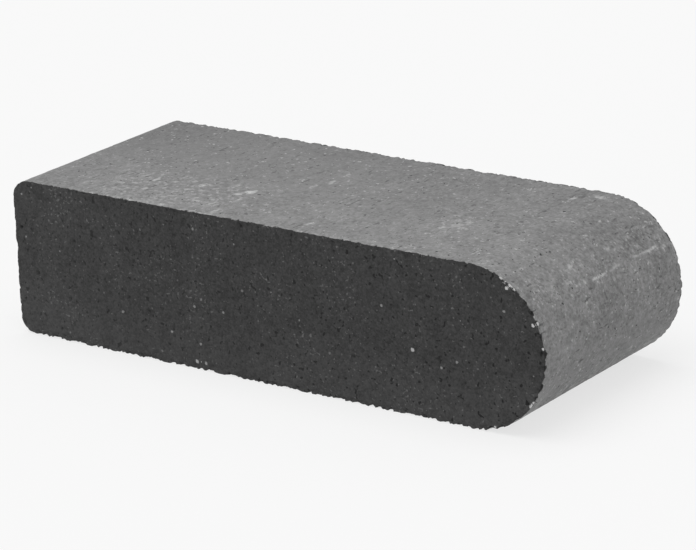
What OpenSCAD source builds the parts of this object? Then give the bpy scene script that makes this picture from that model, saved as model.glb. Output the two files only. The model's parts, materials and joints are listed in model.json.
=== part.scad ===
// Bullnose coping stone: one unit of vibro-pressed concrete.
// Its section lies in the XZ plane and runs straight through along Y.
// +X points to the bullnose, +Y runs along the coping course, +Z is up.
// The origin is the middle of the unit's footprint, on its bed.

/* [Unit] */
// Length from the back face to the tip of the nose
unit_length = 232; // [150:1:400]
// Width along the coping course, from end face to end face
unit_width = 92; // [60:1:300]
// Thickness from bed to tread
unit_thickness = 60; // [40:1:80]

/* [Eased back arrises] */
// Radius between the back face and the tread
tread_arris_r = 7; // [2:0.5:18]
// Radius between the back face and the bed
bed_arris_r = 7; // [2:0.5:18]

/* [Hidden] */
$fn = 96;
// How far a cutter runs past the corner that it cuts
overcut = 1;
// A full bullnose is a half round, as deep as half the thickness
nose_r = unit_thickness / 2;
back_x = -unit_length / 2;
nose_centre_x = unit_length / 2 - nose_r;

// Flat part of the section, from the back face to the middle of the half round.
module flat_run() {
    translate([back_x, 0])
        square([nose_centre_x - back_x, unit_thickness]);
}

// Half round that closes the front of the section.
module bullnose() {
    translate([nose_centre_x, nose_r])
        circle(r = nose_r);
}

// What easing to radius r takes off a square corner that sits at the origin,
// with the concrete up and to the right of it.
module arris_waste(r) {
    difference() {
        translate([-overcut, -overcut])
            square(r + overcut);
        translate([r, r])
            circle(r = r);
    }
}

// Section of the unit: bullnose in front, flat tread and bed, eased back corners.
module section() {
    difference() {
        union() {
            flat_run();
            bullnose();
        }
        translate([back_x, 0])
            arris_waste(bed_arris_r);
        translate([back_x, unit_thickness])
            mirror([0, 1])
                arris_waste(tread_arris_r);
    }
}

// The unit: its section run along the course, cut square at both end faces.
module coping_stone() {
    color("dimgray")
        translate([0, unit_width / 2, 0])
            rotate([90, 0, 0])
                linear_extrude(height = unit_width)
                    section();
}

coping_stone();
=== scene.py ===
import json
import math
import random

import bmesh
import bpy
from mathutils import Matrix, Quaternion, Vector
from mathutils.kdtree import KDTree

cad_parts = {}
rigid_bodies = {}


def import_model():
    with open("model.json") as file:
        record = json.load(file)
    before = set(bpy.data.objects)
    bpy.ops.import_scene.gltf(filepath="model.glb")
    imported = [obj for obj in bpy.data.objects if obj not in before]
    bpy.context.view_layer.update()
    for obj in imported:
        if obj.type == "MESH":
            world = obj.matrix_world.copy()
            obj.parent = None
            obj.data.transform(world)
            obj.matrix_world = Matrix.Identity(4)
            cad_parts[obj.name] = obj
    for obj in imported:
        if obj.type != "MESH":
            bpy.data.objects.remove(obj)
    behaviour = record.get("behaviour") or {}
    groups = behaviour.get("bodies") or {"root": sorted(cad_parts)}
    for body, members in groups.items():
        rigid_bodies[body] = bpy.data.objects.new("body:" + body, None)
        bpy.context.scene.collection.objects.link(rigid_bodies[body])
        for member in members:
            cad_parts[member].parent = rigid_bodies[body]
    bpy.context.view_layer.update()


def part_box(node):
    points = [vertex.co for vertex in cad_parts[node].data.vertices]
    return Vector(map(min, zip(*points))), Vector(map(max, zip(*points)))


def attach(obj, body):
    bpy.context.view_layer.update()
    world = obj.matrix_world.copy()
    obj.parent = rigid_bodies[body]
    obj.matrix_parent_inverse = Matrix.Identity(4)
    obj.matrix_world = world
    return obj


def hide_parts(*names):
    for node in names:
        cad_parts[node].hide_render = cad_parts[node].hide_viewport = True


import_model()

# ------------------------------------------------------------------------------------------------
# The coping unit: one block of dense, dry-cast charcoal concrete. It is pressed on end in a steel
# mould, so its two section faces are the open, sandy ones, made by the tamper and the pallet, while
# its tread, nose, bed and back are drawn along the mould's walls as the unit is pushed out.
# ------------------------------------------------------------------------------------------------
MM = 0.001
low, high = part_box("coping_stone")
unit = high - low
NOSE_R = unit.z / 2
ARRIS_R = 7 * MM
NOSE_CENTRE = Vector((high.x - NOSE_R, 0, low.z + NOSE_R))
FLAT_RUN = unit.x - NOSE_R - ARRIS_R
BACK_RISE = unit.z - 2 * ARRIS_R
# Width of the mesh's cells round the section, and the rows across the unit: even ones, and a few
# narrow ones by each sharp arris, where the concrete crumbles.
CELL = 0.75 * MM
ROWS = 64
RIM_ROWS = (0.25 * MM, 0.6 * MM, 1.0 * MM, 1.5 * MM, 2.1 * MM, 2.8 * MM)
RIM_INSET = 0.3 * MM
# How often the points inside an end face's grid move half way to the middle of their neighbours.
EVENING_OUT = 60
# Places closer than TOLERANCE are taken as one, and points closer than WELD are made one.
TOLERANCE = 0.001 * MM
WELD = 0.01 * MM
PRESSED_SLOT = 1


def cells_in(length):
    """How many cells fit a length, as an even number."""
    return 2 * round(length / CELL / 2)


def choose(kind, test):
    """In edit mode, selects the edges or faces of the unit that pass the test, and nothing else."""
    bpy.ops.mesh.select_all(action="DESELECT")
    bpy.ops.mesh.select_mode(type="EDGE" if kind == "edges" else "FACE")
    for item in getattr(form, kind):
        if test(item):
            item.select_set(True)


def runs_along(edge, axis):
    """True if an edge is parallel to that axis."""
    span = edge.verts[0].co - edge.verts[1].co
    return abs(span[axis]) > 0.999 * span.length


def on_end(item, end):
    """True if an edge or face lies in the plane of that end face of the unit."""
    return all(abs(v.co.y - end) < TOLERANCE for v in item.verts)


bpy.ops.object.select_all(action="DESELECT")
bpy.ops.mesh.primitive_cube_add(size=1, location=(low + high) / 2, scale=unit)
stone = bpy.context.active_object
stone.name = "coping_unit"
bpy.ops.object.transform_apply(location=True, rotation=True, scale=True)

# The section is rounded first: the half-round nose, whose two quarter rounds end a hair short of each
# other and are then welded, and the two eased back arrises.
HAIR_SHORT = 0.99999
bpy.ops.object.mode_set(mode="EDIT")
form = bmesh.from_edit_mesh(stone.data)
for at_corner, radius in (
    (lambda x: x > NOSE_CENTRE.x, HAIR_SHORT * NOSE_R),
    (lambda x: x < low.x + MM, ARRIS_R),
):
    choose("edges", lambda e: runs_along(e, 1) and at_corner(e.verts[0].co.x))
    bpy.ops.mesh.bevel(
        offset=radius, segments=cells_in(math.pi * radius / 2), affect="EDGES", clamp_overlap=False
    )
bpy.ops.mesh.select_all(action="SELECT")
bpy.ops.mesh.remove_doubles(threshold=WELD)

# The end faces come off, the walls are cut into cells, and the end faces are filled with a grid.
choose("faces", lambda f: on_end(f, low.y) or on_end(f, high.y))
bpy.ops.mesh.delete(type="ONLY_FACE")
QUARTERS = 4
choose("edges", lambda e: runs_along(e, 0) and e.calc_length() > FLAT_RUN / 2)
bpy.ops.mesh.subdivide(number_cuts=QUARTERS - 1)
choose("edges", lambda e: runs_along(e, 0) and e.calc_length() > FLAT_RUN / QUARTERS / 2)
bpy.ops.mesh.subdivide(number_cuts=cells_in(FLAT_RUN / QUARTERS) - 1)
choose("edges", lambda e: runs_along(e, 2) and e.calc_length() > BACK_RISE / 2)
bpy.ops.mesh.subdivide(number_cuts=cells_in(BACK_RISE) - 1)
choose("edges", lambda e: runs_along(e, 1))
bpy.ops.mesh.subdivide(number_cuts=ROWS - 1)
for end, inward in ((low.y, 1), (high.y, -1)):
    for depth in RIM_ROWS:
        bpy.ops.mesh.select_all(action="SELECT")
        bpy.ops.mesh.bisect(plane_co=(0, end + inward * depth, 0), plane_no=(0, 1, 0))

# Each grid has its long sides along the tread and the bed, from half way round an eased arris to the
# place on the nose that leaves as many cells round the nose as there are down the back.
SHORT_SIDE = cells_in(BACK_RISE) + cells_in(math.pi * ARRIS_R / 2)
nose_share = SHORT_SIDE / (2 * cells_in(math.pi * NOSE_R / 2))
nose_side_z = NOSE_R * math.sin(nose_share * math.pi / 2)
back_side_x = low.x + ARRIS_R * (1 - math.sqrt(0.5))


def on_long_side(edge):
    """True if an edge of an end's rim is on one of its grid's two long sides."""
    middle = (edge.verts[0].co + edge.verts[1].co) / 2
    past_nose_side = middle.x > NOSE_CENTRE.x and abs(middle.z - NOSE_CENTRE.z) < nose_side_z
    return middle.x > back_side_x and not past_nose_side


for end in (low.y, high.y):
    choose("edges", lambda e: e.is_boundary and on_end(e, end) and on_long_side(e))
    bpy.ops.mesh.fill_grid()
    choose("faces", lambda f: on_end(f, end))
    bpy.ops.mesh.inset(thickness=RIM_INSET, depth=0)
    bpy.ops.mesh.select_less()
    bpy.ops.mesh.vertices_smooth(factor=0.5, repeat=EVENING_OUT)
    choose("faces", lambda f: on_end(f, end))
    for f in form.faces:
        if f.select:
            f.material_index = PRESSED_SLOT
bpy.ops.mesh.select_all(action="SELECT")
bpy.ops.mesh.normals_make_consistent(inside=False)
for end in (low.y, high.y):
    choose("edges", lambda e: on_end(e, end) and not all(on_end(f, end) for f in e.link_faces))
    bpy.ops.mesh.mark_sharp()
bpy.ops.object.mode_set(mode="OBJECT")
bpy.ops.object.shade_smooth()


def depth_in_section(x, z):
    """How far a point of the section lies inside its outline."""
    if x > NOSE_CENTRE.x:
        return NOSE_R - math.hypot(x - NOSE_CENTRE.x, z - NOSE_CENTRE.z)
    past_x = low.x + ARRIS_R - x
    past_z = abs(z - NOSE_CENTRE.z) - (NOSE_R - ARRIS_R)
    if past_x > 0 and past_z > 0:
        return ARRIS_R - math.hypot(past_x, past_z)
    return min(x - low.x, z - low.z, high.z - z)


# Each sharp arris crumbles towards a line that lies this far below both of its faces.
ARRIS_CORE = 3 * MM
STEP = 0.01 * MM


def into_arris(place):
    """The direction from a place near a sharp arris to the line that runs inside that arris."""
    x, z = place.x, place.z
    deeper_x = depth_in_section(x + STEP, z) - depth_in_section(x - STEP, z)
    deeper_z = depth_in_section(x, z + STEP) - depth_in_section(x, z - STEP)
    off_end = max(0, ARRIS_CORE - unit.y / 2 + abs(place.y))
    off_skin = max(0, ARRIS_CORE - depth_in_section(x, z))
    way = off_skin * Vector((deeper_x, 0, deeper_z)).normalized()
    way.y = -math.copysign(off_end, place.y)
    return way.normalized()


def nose_angle(place):
    """The angle of a place round the nose in degrees, 90 at the tread and -90 at the bed."""
    return math.degrees(math.atan2(place.z - NOSE_CENTRE.z, place.x - NOSE_CENTRE.x))


def run_from_back(place):
    """The way from the back to a place, over the tread and round the nose."""
    if place.x < NOSE_CENTRE.x:
        return place.x - low.x
    return NOSE_CENTRE.x - low.x + NOSE_R * math.radians(90 - nose_angle(place))


def smooth_step(value, start, end):
    """0 before start, 1 past end, and an even rise between them."""
    share = min(1, max(0, (value - start) / (end - start)))
    return share * share * (3 - 2 * share)


def between(start, end, share):
    """The value that lies that share of the way from start to end."""
    return start + share * (end - start)


# The tamper's end is the near one. Its arris crumbles round the lower nose and along the bed, while
# the pallet's end stays truer.
NEAR_TREAD_WEAR = 0.52
NEAR_BED_WEAR = 0.82
NEAR_NOSE_WEAR = 1.0
FAR_TREAD_WEAR = 0.42
FAR_BED_WEAR = 0.52
FAR_NOSE_WEAR = 0.35
BACK_WEAR = 0.25


def wear_at(place):
    """How worn the nearest sharp arris is, from 0 to 1."""
    near_end = place.y < 0
    if place.x > NOSE_CENTRE.x:
        angle = nose_angle(place)
        if not near_end:
            return between(FAR_TREAD_WEAR, FAR_NOSE_WEAR, smooth_step(abs(angle), 85, 65))
        if angle > -60:
            return between(NEAR_TREAD_WEAR, NEAR_NOSE_WEAR, smooth_step(angle, 15, -35))
        return between(NEAR_NOSE_WEAR, NEAR_BED_WEAR, smooth_step(angle, -60, -90))
    by_tread, by_bed = (
        (NEAR_TREAD_WEAR, NEAR_BED_WEAR) if near_end else (FAR_TREAD_WEAR, FAR_BED_WEAR)
    )
    along = between(by_tread, by_bed, smooth_step(place.z, low.z + 20 * MM, low.z + 8 * MM))
    return between(BACK_WEAR, along, smooth_step(place.x, low.x + 3 * MM, low.x + 10 * MM))


# The skin is thinnest on the upper front of the nose and by the tamper's end, and sand shows through
# it most there.
TREAD_SAND = 0.43
THIN_TREAD_SAND = 0.8
UPPER_NOSE_SAND = 0.82
NOSE_SAND = 1.05
LOWER_NOSE_SAND = 0.55


def sandiness_at(place):
    """How strongly the sand shows through the skin by that place, about 1."""
    if place.x > NOSE_CENTRE.x:
        angle = nose_angle(place)
        if angle > 20:
            return between(UPPER_NOSE_SAND, NOSE_SAND, smooth_step(angle, 60, 40))
        return between(NOSE_SAND, LOWER_NOSE_SAND, smooth_step(angle, 20, -40))
    nose_side = smooth_step(place.x, low.x + 60 * MM, NOSE_CENTRE.x)
    tamper_side = smooth_step(place.y, 10 * MM, -25 * MM)
    return between(TREAD_SAND, THIN_TREAD_SAND, max(nose_side, tamper_side))


# The skin is palest by the near end and darkest at the far end of the back. Along the nose it is even.
# Towards the bed its walls are painted paler with painted floor-bounce light.
NEAR_TONE = 0.58
FAR_TONE = 0.40
NOSE_TONE = 0.52
FAR_BACK_LOSS = 0.1
FLOOR_BOUNCE_GAIN = 0.3
FLOOR_BOUNCE_HEIGHT = 20 * MM


def skin_tone_at(place):
    """How pale the skin is by that place, from 0 to 1, with painted floor-bounce light towards the bed.
    """
    off_near_end = (place.y - low.y) / unit.y
    tone = between(NEAR_TONE, FAR_TONE, off_near_end)
    if place.x > NOSE_CENTRE.x:
        tone = between(tone, NOSE_TONE, smooth_step(nose_angle(place), 50, 25))
    by_back = smooth_step(place.x, low.x + 50 * MM, low.x + 15 * MM)
    tone -= FAR_BACK_LOSS * by_back * smooth_step(off_near_end, 0.4, 0.8)
    return tone + FLOOR_BOUNCE_GAIN * max(0, 1 - (place.z - low.z) / FLOOR_BOUNCE_HEIGHT)


# Lime has bloomed on the skin in small dabs, and faint veils make it paler in places. The veil that
# runs the whole length of the lower nose is painted floor-bounce light, not lime. For each one, in
# millimetres: the way from the back over tread and nose, and from the near end face, its reach along
# both, and then how strong it is.
PALE_VEILS_AND_FLOOR_LIGHT = (
    (61, 18, 55, 30, 0.42), (66, 1, 48, 4, 0.55), (155, 0, 55, 3, 0.6), (174, 35, 12, 15, 0.55),
    (228, 46, 14, 400, 0.3), (290, 46, 34, 400, 0.75),
)
LIME_DABS = (
    (88.6, 29.8, 3.6, 4.2, 1.15), (86, 26, 2.8, 4, 0.85), (90, 20, 2, 4, 0.9),
    (90.5, 6, 1.5, 6, 0.8), (79, 33.5, 2.4, 3, 0.9),
    (67.5, 27.5, 2.4, 4, 0.9), (65.5, 21, 1.8, 4, 0.8), (48, 25.5, 2, 4, 0.95), (44, 37, 1.8, 4, 0.8),
    (104, 46, 1.5, 4, 0.8), (107, 54, 1.5, 4, 0.8), (107, 64, 1.5, 4, 0.85), (129, 9, 1.6, 5, 0.8),
    (202.5, 85.5, 5, 3.5, 0.9), (194.5, 80, 2, 4, 0.85), (216, 14, 1.5, 3, 0.8), (216, 53, 1.2, 3, 0.8),
    (224, 33.5, 1.5, 3, 1.0),
)
# A mark, a bite or a filled stretch of the scratch is at its strongest over this share of its reach.
MARK_CORE = 0.3
BITE_CORE = 0.3
STRETCH_CORE = 0.4
# A grain caught by the wall has scratched the nose, and lime fills stretches of the groove. In
# millimetres: the groove's way from the back and its half width, and for each stretch its middle from
# the near end face, its half length and how full it is.
SCRATCH_RUN = 231.5
SCRATCH_REACH = 1.2
SCRATCH_DABS = (
    (42, 3.5, 0.9), (46, 3, 0.75), (54.5, 5, 0.5), (70, 5, 0.45), (75.5, 3.5, 0.8), (80.5, 3.5, 0.75),
)


def lime_and_floor_light_at(run, across):
    """How pale the lime dabs and the veils make that place, including the painted floor-bounce light on
    the lower nose, each oval mark fading out at its reach.
    """
    most = 0.0
    for middle_run, middle_across, reach_run, reach_across, strength in PALE_VEILS_AND_FLOOR_LIGHT + LIME_DABS:
        away = math.hypot((run - middle_run) / reach_run, (across - middle_across) / reach_across)
        most = max(most, strength * (1 - smooth_step(away, MARK_CORE, 1)))
    return most


def lime_in_scratch(across):
    """How full of lime the scratch is, so far from the near end face."""
    return max(
        full * (1 - smooth_step(abs(across - middle) / half, STRETCH_CORE, 1))
        for middle, half, full in SCRATCH_DABS
    )


# Stretches of the near end's arrises have broken off: round the nose, each by its angle there and its
# reach, and along the bed, each by its distance from the back and its reach. Those on the nose are
# centred this far in from the end. All are worn past the full wear of an arris, so that they are dark
# all through: partly the broken concrete, partly painted shade.
BITE_SETBACK = 0.2
BITE_WEAR = 1.3
NOSE_BITES = (
    (41, 1.2), (33, 1.4), (26, 1.2), (17, 1.4), (4, 2.6), (-5, 2.0), (-13, 1.6), (-20, 2.5),
    (-29, 2.0), (-37, 2.2), (-52, 1.6),
)
BED_BITES = ((22, 3), (33, 1.5), (47, 2), (62, 1.5), (96, 2), (128, 2), (149, 1.5), (171, 2.5))
# Crumbs hang on the near nose arris: the angle round the nose, the depth below its face or, as a
# negative one, along it from the end, and the radius.
CRUMBS = (
    (64, 0, 0.7), (56, 0, 0.75), (52, 0, 0.6), (57, 2, 0.6), (25, 1.8, 0.62), (25, -0.9, 0.65),
    (8, 0, 0.6), (-32, 0, 0.55), (-36, 0, 0.7), (-71, 0.8, 0.5),
)
# Pale quartz grains stand in the end faces. A few large ones show most on the near one, the larger
# the paler: the distance from the back, the height over the bed and the radius. The others are strewn
# over both.
LARGE_GRAINS = (
    (178, 24.5, 0.7), (83, 3, 0.7), (87, 3, 0.6), (85, 10, 0.5), (72, 12.5, 0.5), (83, 24, 0.5),
    (96, 24, 0.5), (165.5, 38.5, 0.5), (190, 20, 0.5), (216, 45, 0.5),
)
PALENESS_PER_MM2 = 1.5
STREWN_GRAINS = 45
STREWN_RADII = (0.25, 0.5)
STREWN_PALENESS = (0.1, 0.4)
GRAIN_GAP = 4.2 * MM


def on_near_nose_arris(angle, depth):
    """The place at that angle round the nose, so far below its face or, if negative, along it."""
    outward = Vector((math.cos(math.radians(angle)), 0, math.sin(math.radians(angle))))
    place = NOSE_CENTRE + (NOSE_R - max(depth, 0) * MM) * outward
    place.y = low.y + max(-depth, 0) * MM
    return place


bites = [(on_near_nose_arris(angle, -BITE_SETBACK), reach * MM) for angle, reach in NOSE_BITES]
for from_back, reach in BED_BITES:
    bites.append((Vector((low.x + from_back * MM, low.y, low.z)), reach * MM))
grains = [(on_near_nose_arris(angle, depth), radius * MM, 1.0) for angle, depth, radius in CRUMBS]
strew = random.Random(11)
for from_back, over_bed, radius in LARGE_GRAINS:
    centre = Vector((low.x + from_back * MM, low.y, low.z + over_bed * MM))
    grains.append((centre, radius * MM, PALENESS_PER_MM2 * radius ** 2))
for end in (low.y, high.y):
    for _ in range(STREWN_GRAINS):
        centre = Vector((strew.uniform(low.x, high.x), end, strew.uniform(low.z, high.z)))
        if all((centre - other).length > GRAIN_GAP for other, _, _ in grains):
            radius = strew.uniform(*STREWN_RADII) * MM
            grains.append((centre, radius, strew.uniform(*STREWN_PALENESS)))

# Each point in a grain, or less than about this margin past its rim, holds where it lies from the
# grain's centre, in the grain's radii. The reliefs set in between those many radii off a grain.
GRAIN_MARGIN = 1.5 * CELL
RELIEF_FROM = 0.8
RELIEF_FULL = 2
FAR_AWAY = Vector((0, 9, 0))
points = stone.data.vertices
nearest = KDTree(len(points))
for v in points:
    nearest.insert(v.co, v.index)
nearest.balance()
from_grain = [FAR_AWAY for _ in points]
paleness = [0.0] * len(points)
for centre, radius, pale in grains:
    for place, index, away in nearest.find_range(centre, 1.1 * radius + GRAIN_MARGIN):
        if away / radius < from_grain[index].length:
            from_grain[index] = (place - centre) / radius
            paleness[index] = pale

# Four groups say where each relief goes, and the painted values are what the materials read. The
# strip that crumbles along an arris has the least reach with no wear and the most with full wear. A
# point less than ON_SURFACE below a face is on it.
LEAST_REACH = 0.9 * MM
MOST_REACH = 2.0 * MM
ON_SURFACE = 0.05 * MM
for name in ("drawn_skin", "pressed_faces", "sharp_arrises", "drag_scratch"):
    stone.vertex_groups.new(name=name)
skin, face, arris, scratch = stone.vertex_groups
painted = {name: [] for name in ("wear", "lime_and_floor_light", "sandy", "tone", "from_scratch_mm", "scratch_lime")}
for v in points:
    place = v.co
    inside_end = unit.y / 2 - abs(place.y)
    inside_skin = depth_in_section(place.x, place.z)
    off_grain = smooth_step(from_grain[v.index].length, RELIEF_FROM, RELIEF_FULL)
    worn = wear_at(place)
    reach = between(LEAST_REACH, MOST_REACH, worn)
    wear = worn * (1 - smooth_step(max(inside_end, inside_skin), 0, reach))
    for centre, size in bites:
        share = 1 - smooth_step((place - centre).length, BITE_CORE * size, size)
        wear = max(wear, BITE_WEAR * share)
    arris.add([v.index], wear * off_grain, "REPLACE")
    on_skin = inside_skin < ON_SURFACE
    if on_skin:
        skin.add([v.index], smooth_step(inside_end, 0, reach), "REPLACE")
    if inside_end < ON_SURFACE:
        face.add([v.index], smooth_step(inside_skin, 0, reach) * off_grain, "REPLACE")
    run = run_from_back(place) / MM
    across = (place.y - low.y) / MM
    lime_and_floor_light = 0.0
    filled = 0.0
    if on_skin and (place.z > NOSE_CENTRE.z or place.x > NOSE_CENTRE.x):
        lime_and_floor_light = lime_and_floor_light_at(run, across)
        filled = lime_in_scratch(across)
        groove = max(0, 1 - abs(run - SCRATCH_RUN) / SCRATCH_REACH)
        scratch.add([v.index], filled * groove, "REPLACE")
    painted["wear"].append(wear)
    painted["lime_and_floor_light"].append(lime_and_floor_light)
    painted["sandy"].append(sandiness_at(place))
    painted["tone"].append(skin_tone_at(place))
    painted["from_scratch_mm"].append(run - SCRATCH_RUN)
    painted["scratch_lime"].append(filled)

# Marks along the walls are drawn out along Y. This empty's scale stretches a relief that way.
RELIEF_STRETCH = 5
draw_direction = bpy.data.objects.new("draw_direction", None)
draw_direction.scale = (1, RELIEF_STRETCH, 1)
bpy.context.scene.collection.objects.link(draw_direction)
bpy.context.view_layer.update()


def grain_texture(name, size, contrast=1.0):
    """Soft, cloudy relief with lumps of about that size."""
    texture = bpy.data.textures.new(name, "CLOUDS")
    texture.noise_scale = size
    texture.contrast = contrast
    return texture


def pit_texture(name, spacing, radius):
    """Round pits of about that radius, one for each cell of that size in the concrete."""
    floor_radius = 0.2 * radius
    texture = bpy.data.textures.new(name, "VORONOI")
    texture.noise_scale = spacing
    texture.use_color_ramp = True
    ramp = texture.color_ramp
    ramp.interpolation = "EASE"
    ramp.elements[0].color = (0, 0, 0, 1)
    ramp.elements[0].position = floor_radius / spacing
    ramp.elements[1].color = (1, 1, 1, 1)
    ramp.elements[1].position = radius / spacing
    return texture


def add_relief(texture, group, height, level, stretched=False, direction="NORMAL"):
    """Displaces a group of the unit's vertices by that height from black to white; level is the
    texture's value that stays where it is."""
    relief = stone.modifiers.new(texture.name, "DISPLACE")
    relief.texture = texture
    relief.vertex_group = group
    relief.strength = height
    relief.mid_level = level
    relief.direction = direction
    relief.texture_coords = "OBJECT" if stretched else "LOCAL"
    relief.texture_coords_object = draw_direction if stretched else None
    bpy.ops.object.modifier_apply(modifier=relief.name)


true_places = [v.co.copy() for v in points]
outwards = [v.normal.copy() for v in points]
drag_lines = grain_texture("drag_lines", 1.6 * MM, contrast=1.5)
add_relief(grain_texture("mould_wear", 40 * MM), "", 0.25 * MM, 0.75)
add_relief(drag_lines, "drawn_skin", 0.14 * MM, 0.8, stretched=True)
add_relief(grain_texture("skin_grain", 2.2 * MM), "drawn_skin", 0.2 * MM, 0.8)
add_relief(pit_texture("blow_holes", 14 * MM, 1.1 * MM), "drawn_skin", 0.7 * MM, 1)
add_relief(grain_texture("scratch_floor", 2 * MM), "drag_scratch", 0.4 * MM, 1)
add_relief(grain_texture("open_grain", 1.7 * MM, contrast=1.4), "pressed_faces", 0.5 * MM, 0.85)
add_relief(pit_texture("open_pores", 6 * MM, 1.2 * MM), "pressed_faces", 0.8 * MM, 1)
bpy.data.objects.remove(draw_direction)

# The arrises crumble last. How far they do is first read off along Y, and then each point goes that
# far towards the line inside its arris, so that the mesh doesn't fold over there.
whole_places = [v.co.copy() for v in points]
bitten = grain_texture("bitten_arris", 5 * MM, contrast=1.5)
crumbled = grain_texture("crumbled_arris", 1.6 * MM, contrast=2.2)
add_relief(bitten, "sharp_arrises", 1.4 * MM, 0.6, direction="Y")
add_relief(crumbled, "sharp_arrises", 1.8 * MM, 0.7, direction="Y")
for v, whole_place, true_place in zip(points, whole_places, true_places):
    lost = whole_place.y - v.co.y
    v.co = whole_place
    if lost > 0:
        v.co += lost * into_arris(true_place)

# Nothing stands proud of the mould. How deep each point then lies below its true face is painted
# too, with where it lies in a pale grain.
painted["sunk_mm"] = []
painted["paleness"] = paleness
for v, true_place, outward in zip(points, true_places, outwards):
    if abs(v.co.y) > unit.y / 2 or depth_in_section(v.co.x, v.co.z) < 0:
        v.co = true_place
    painted["sunk_mm"].append((true_place - v.co).dot(outward) / MM)
for name, values in painted.items():
    stone.data.attributes.new(name, "FLOAT", "POINT").data.foreach_set("value", values)
in_grain = stone.data.attributes.new("from_grain", "FLOAT_VECTOR", "POINT")
in_grain.data.foreach_set("vector", [part for offset in from_grain for part in offset])


def linear(hex_colour):
    """The linear colour of an sRGB hex value."""
    channels = [int(hex_colour[i:i + 2], 16) / 255 for i in (1, 3, 5)]
    return [c / 12.92 if c <= 0.04045 else ((c + 0.055) / 1.055) ** 2.4 for c in channels] + [1]


def per(size):
    """The texture scale that gives features of that size in metres."""
    return 1 / size


def add_node(tree, kind, inputs, output=0, **settings):
    """Adds a shader node with its settings and inputs, each a value or a socket to link, and
    returns one of its outputs."""
    node = tree.nodes.new("ShaderNode" + kind)
    for name, value in settings.items():
        setattr(node, name, value)
    for key, value in inputs.items():
        if isinstance(value, bpy.types.NodeSocket):
            tree.links.new(value, node.inputs[key])
        else:
            node.inputs[key].default_value = value
    return None if output is None else node.outputs[output]


def new_material(name):
    """An empty node material's tree, and where on the unit it is."""
    material = bpy.data.materials.new(name)
    material.use_nodes = True
    material.node_tree.nodes.clear()
    stone.data.materials.append(material)
    return material.node_tree, add_node(material.node_tree, "TexCoord", {}, "Object")


def weighted(tree, middle, *parts):
    """The sum of some patterns, each times its weight, about that middle."""
    total = middle - 0.5 * sum(weight for _, weight in parts)
    for pattern, weight in parts:
        total = add_node(tree, "Math", {0: pattern, 1: weight, 2: total}, operation="MULTIPLY_ADD")
    return total


def stained(tree, colour, stain, pattern, start, full, most=1.0):
    """A colour under a stain that starts where the pattern has one value and is at its most, a
    share from 0 to 1, where the pattern has another."""
    inputs = {"Value": pattern, "From Min": start, "From Max": full, "To Max": most}
    share = add_node(tree, "MapRange", inputs)
    return add_node(tree, "Mix", {"Factor": share, 6: colour, 7: linear(stain)}, 2, data_type="RGBA")


def with_grains(tree, colour, fines):
    """The colour with the pale grains that stand in the unit, each with a ragged rim."""
    offset = add_node(tree, "Attribute", {}, "Vector", attribute_name="from_grain")
    paleness = add_node(tree, "Attribute", {}, "Fac", attribute_name="paleness")
    radii = add_node(tree, "VectorMath", {0: offset}, "Value", operation="LENGTH")
    ragged = add_node(tree, "Math", {0: fines, 1: 1.6, 2: radii}, operation="MULTIPLY_ADD")
    return stained(tree, colour, "#cacaca", ragged, 2.0, 1.6, paleness)


def with_bits(tree, colour, stain, place, size, rarity, gathering, most):
    """The colour with ragged bits of about that size, rarer the nearer rarity is to 1. They lie
    closer where the gathering pattern is high."""
    spacing = 2.4 * size
    rim = 0.06
    inputs = {"Vector": place, "Scale": per(spacing), "Detail": 1, "Roughness": 0.6}
    pattern = weighted(tree, 0.5, (add_node(tree, "TexNoise", inputs), 1.0), (gathering, 0.4))
    return stained(tree, colour, stain, pattern, rarity, rarity + rim, most)


def finish_material(tree, colour, roughness, height, depth):
    """Ends a material in one shader, with a bump of that depth in metres. The concrete's open pores
    take up some of its sheen."""
    bump = add_node(tree, "Bump", {"Height": height, "Distance": depth})
    inputs = {"Base Color": colour, "Roughness": roughness, "Normal": bump, "Specular IOR Level": 0.3}
    shader = add_node(tree, "BsdfPrincipled", inputs)
    add_node(tree, "OutputMaterial", {"Surface": shader}, None)


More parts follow.
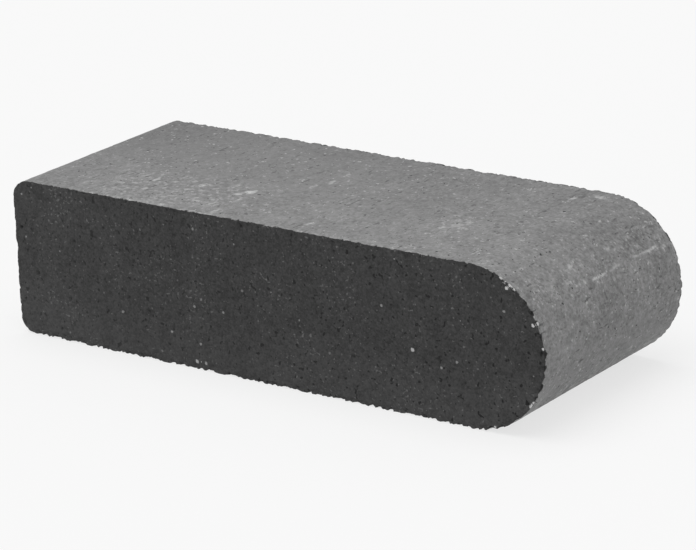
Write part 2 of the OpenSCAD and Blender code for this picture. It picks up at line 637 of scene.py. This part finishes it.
# Charcoal concrete as the mould's wall leaves it: a thin skin of cement and fines, dull mid grey,
# clouded, faintly streaked along the draw, with single sand grains and lime showing in it.
def add_drawn_concrete():
    tree, place = new_material("drawn_concrete")
    stretch = 4
    drawn_out = add_node(tree, "Mapping", {"Vector": place, "Scale": (1, 1 / stretch, 1)})
    wear, lime_and_floor_light, sandy, tone, from_scratch, scratch_lime, sunk = (
        add_node(tree, "Attribute", {}, "Fac", attribute_name=name)
        for name in ("wear", "lime_and_floor_light", "sandy", "tone", "from_scratch_mm", "scratch_lime", "sunk_mm")
    )
    sand = add_node(tree, "TexVoronoi", {"Vector": place, "Scale": per(1.0 * MM)}, "Color")
    fines, chips, blooms, lumps, clouds = (
        add_node(tree, "TexNoise", {"Vector": place, "Scale": per(size), "Roughness": 0.6})
        for size in (0.9 * MM, 1.8 * MM, 2.2 * MM, 3.2 * MM, 18 * MM)
    )
    inputs = {"Vector": drawn_out, "Scale": per(1.4 * MM), "Roughness": 0.6}
    streaks = add_node(tree, "TexNoise", inputs)

    parts = ((sand, 0.45), (fines, 0.9), (lumps, 0.65), (clouds, 0.5), (streaks, 0.3))
    # The painted tone includes painted floor-bounce light, paler towards the bed.
    inputs = {0: weighted(tree, 0, *parts), 1: sandy, 2: tone}
    tone = add_node(tree, "Math", inputs, operation="MULTIPLY_ADD")
    colour = stained(tree, linear("#5e5e5e"), "#9c9c9c", tone, 0, 1)

    # Lime blooms pale here, and the band along the lower nose is painted floor-bounce light.
    bloom_and_floor_light = weighted(tree, 0.5, (blooms, 2.4), (streaks, 0.2))
    bloom_and_floor_light = add_node(tree, "Math", {0: lime_and_floor_light, 1: bloom_and_floor_light}, operation="ADD")
    colour = stained(tree, colour, "#cccccc", bloom_and_floor_light, 0.95, 2.05)
    colour = with_bits(tree, colour, "#cacaca", place, 0.6 * MM, 0.69, lumps, 0.52)
    colour = with_bits(tree, colour, "#343434", drawn_out, 0.6 * MM, 0.69, lumps, 0.52)

    # The scratch wanders a little, and the lime in it has a ragged rim.
    sway = weighted(tree, 0, (clouds, 4.0))
    line = add_node(tree, "Math", {0: sway, 1: from_scratch}, operation="ADD")
    line = add_node(tree, "Math", {0: line}, operation="ABSOLUTE")
    line = add_node(tree, "Math", {0: fines, 1: 2.4, 2: line}, operation="MULTIPLY_ADD")
    colour = stained(tree, colour, "#c4c4c4", line, 2.0, 1.2, scratch_lime)

    # Broken arrises and the floors of pits are painted darker: partly the dark inside showing, partly
    # painted shade in the bites and hollows.
    colour = stained(tree, colour, "#404040", sunk, 0.35, 0.8)
    broken_and_shaded = weighted(tree, 0.5, (wear, 1.0), (chips, 2.4))
    colour = stained(tree, colour, "#303030", broken_and_shaded, 0.42, 0.52)
    colour = with_grains(tree, colour, fines)
    inputs = {"Value": tone, "From Min": 0.2, "From Max": 0.8, "To Min": 0.95, "To Max": 0.82}
    roughness = add_node(tree, "MapRange", inputs)
    height = weighted(tree, 0.5, (fines, 0.9), (streaks, 0.5), (sand, 0.25))
    finish_material(tree, colour, roughness, height, 0.2 * MM)


# The same concrete where the tamper and the pallet pressed it: no skin, only grains of dark sand
# in charcoal paste, open between them, so it drinks up light; single quartz grains catch it.
def add_pressed_concrete():
    tree, place = new_material("pressed_concrete")
    along = add_node(tree, "SeparateXYZ", {"Vector": place}, "X")
    upward = along.node.outputs["Z"]
    sunk = add_node(tree, "Attribute", {}, "Fac", attribute_name="sunk_mm")
    sand = add_node(tree, "TexVoronoi", {"Vector": place, "Scale": per(1.2 * MM)}, "Color")
    domes = sand.node.outputs["Distance"]
    fines, lumps, clouds = (
        add_node(tree, "TexNoise", {"Vector": place, "Scale": per(size), "Roughness": 0.6})
        for size in (0.8 * MM, 4 * MM, 22 * MM)
    )

    # The face is palest by the back, and its pores are darkest towards the nose. By the bed it is
    # painted paler with painted floor-bounce light.
    tone = weighted(tree, 0.5, (sand, 0.4), (fines, 1.1), (lumps, 0.5), (clouds, 0.4))
    for value, start, end, paler, darker in (
        (upward, low.z, low.z + 24 * MM, 0.3, 0),
        (along, low.x, low.x + 70 * MM, 0.1, -0.03),
    ):
        inputs = {"Value": value, "From Min": start, "From Max": end, "To Min": paler, "To Max": darker}
        shift = add_node(tree, "MapRange", inputs)
        tone = add_node(tree, "Math", {0: tone, 1: shift}, operation="ADD")
    colour = stained(tree, linear("#282828"), "#4f4f4f", tone, 0, 1)

    colour = with_bits(tree, colour, "#8c8c8c", place, 0.5 * MM, 0.67, clouds, 0.34)
    inputs = {"Value": along, "From Min": low.x, "From Max": high.x, "To Min": 0.5, "To Max": 0.85}
    openness = add_node(tree, "MapRange", inputs)
    colour = with_bits(tree, colour, "#101010", place, 0.8 * MM, 0.66, lumps, openness)
    # Painted shade: the deeper a pore lies, the darker it is painted.
    colour = stained(tree, colour, "#161616", sunk, 0.6, 1.2)
    colour = with_grains(tree, colour, fines)
    height = weighted(tree, 0.5, (domes, -1.0), (fines, 1.0))
    finish_material(tree, colour, 0.95, height, 0.2 * MM)


add_drawn_concrete()
add_pressed_concrete()
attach(stone, "root")
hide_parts("coping_stone")

# ------------------------------------------------------------------------------------------------
# The studio: a pale floor, a broad soft lamp overhead and even light all round, so that the tread
# is lightest, the near face darkest and the shadow faint, and the camera.
# ------------------------------------------------------------------------------------------------
FLOOR_SIZE = 9
FLOOR_COLOUR = "#f8f8f8"
BACKDROP_COLOUR = "#f9f9f9"
# What looks at the floor finds most of it an even pale backdrop, and the rest holds the shadow.
BACKDROP_SHARE = 0.75


def seen_directly(tree):
    """1 for what the camera sees, or sees in gloss or through glass, and 0 for what only lights."""
    direct = 0
    path = tree.nodes.new("ShaderNodeLightPath")
    for ray in ("Is Camera Ray", "Is Glossy Ray", "Is Transmission Ray"):
        direct = add_node(tree, "Math", {0: direct, 1: path.outputs[ray]}, operation="MAXIMUM")
    return direct


bpy.ops.object.select_all(action="DESELECT")
bpy.ops.mesh.primitive_plane_add(size=FLOOR_SIZE, location=(0, 0, low.z))
floor = bpy.context.active_object
floor.name = "floor"
floor_material = bpy.data.materials.new("pale_floor")
floor_material.use_nodes = True
tree = floor_material.node_tree
tree.nodes.clear()
inputs = {"Base Color": linear(FLOOR_COLOUR), "Roughness": 1, "Specular IOR Level": 0}
lit = add_node(tree, "BsdfPrincipled", inputs)
backdrop = add_node(tree, "Emission", {"Color": linear(BACKDROP_COLOUR)})
share = add_node(tree, "Math", {0: seen_directly(tree), 1: BACKDROP_SHARE}, operation="MULTIPLY")
both = add_node(tree, "MixShader", {0: share, 1: lit, 2: backdrop})
add_node(tree, "OutputMaterial", {"Surface": both}, None)
floor.data.materials.append(floor_material)

# The lamp's level is what a white surface that faces it sends back, and its angle is how broad it is.
LAMP_LEVEL = 0.55
LAMP_ANGLE = math.radians(60)
LIGHT_FROM = Vector((-0.1, -0.15, 0.98)).normalized()
bpy.ops.object.light_add(type="SUN", rotation=LIGHT_FROM.to_track_quat("Z", "Y").to_euler())
lamp = bpy.context.active_object
lamp.name = "overhead_softbox"
lamp.data.energy = LAMP_LEVEL * math.pi
lamp.data.angle = LAMP_ANGLE

# The sky lights the unit evenly, and is as pale as the backdrop to whatever looks at it.
SKY_LIGHT = 0.46
world = bpy.data.worlds.new("studio")
bpy.context.scene.world = world
world.use_nodes = True
tree = world.node_tree
inputs = {"Value": seen_directly(tree), "To Min": SKY_LIGHT, "To Max": linear(BACKDROP_COLOUR)[0]}
tree.links.new(add_node(tree, "MapRange", inputs), tree.nodes["Background"].inputs["Strength"])
tree.nodes["Background"].inputs["Color"].default_value = (1, 1, 1, 1)

# The camera stands off a place on the near end face, and looks down at it from the nose's side.
AZIMUTH = math.radians(35.946)
ELEVATION = math.radians(18.537)
ROLL = math.radians(-2.112)
DISTANCE = 1.2119
aim = Vector((low.x + 0.6546 * unit.x, low.y, low.z + 0.7901 * unit.z))
back = Vector((
    math.sin(AZIMUTH) * math.cos(ELEVATION),
    -math.cos(AZIMUTH) * math.cos(ELEVATION),
    math.sin(ELEVATION),
))
bpy.ops.object.camera_add(location=aim + DISTANCE * back)
camera = bpy.context.active_object
camera.rotation_mode = "QUATERNION"
camera.rotation_quaternion = (-back).to_track_quat("-Z", "Y") @ Quaternion((0, 0, 1), ROLL)
camera.data.lens = 180.66
bpy.context.scene.camera = camera
bpy.context.scene.view_settings.view_transform = "Standard"
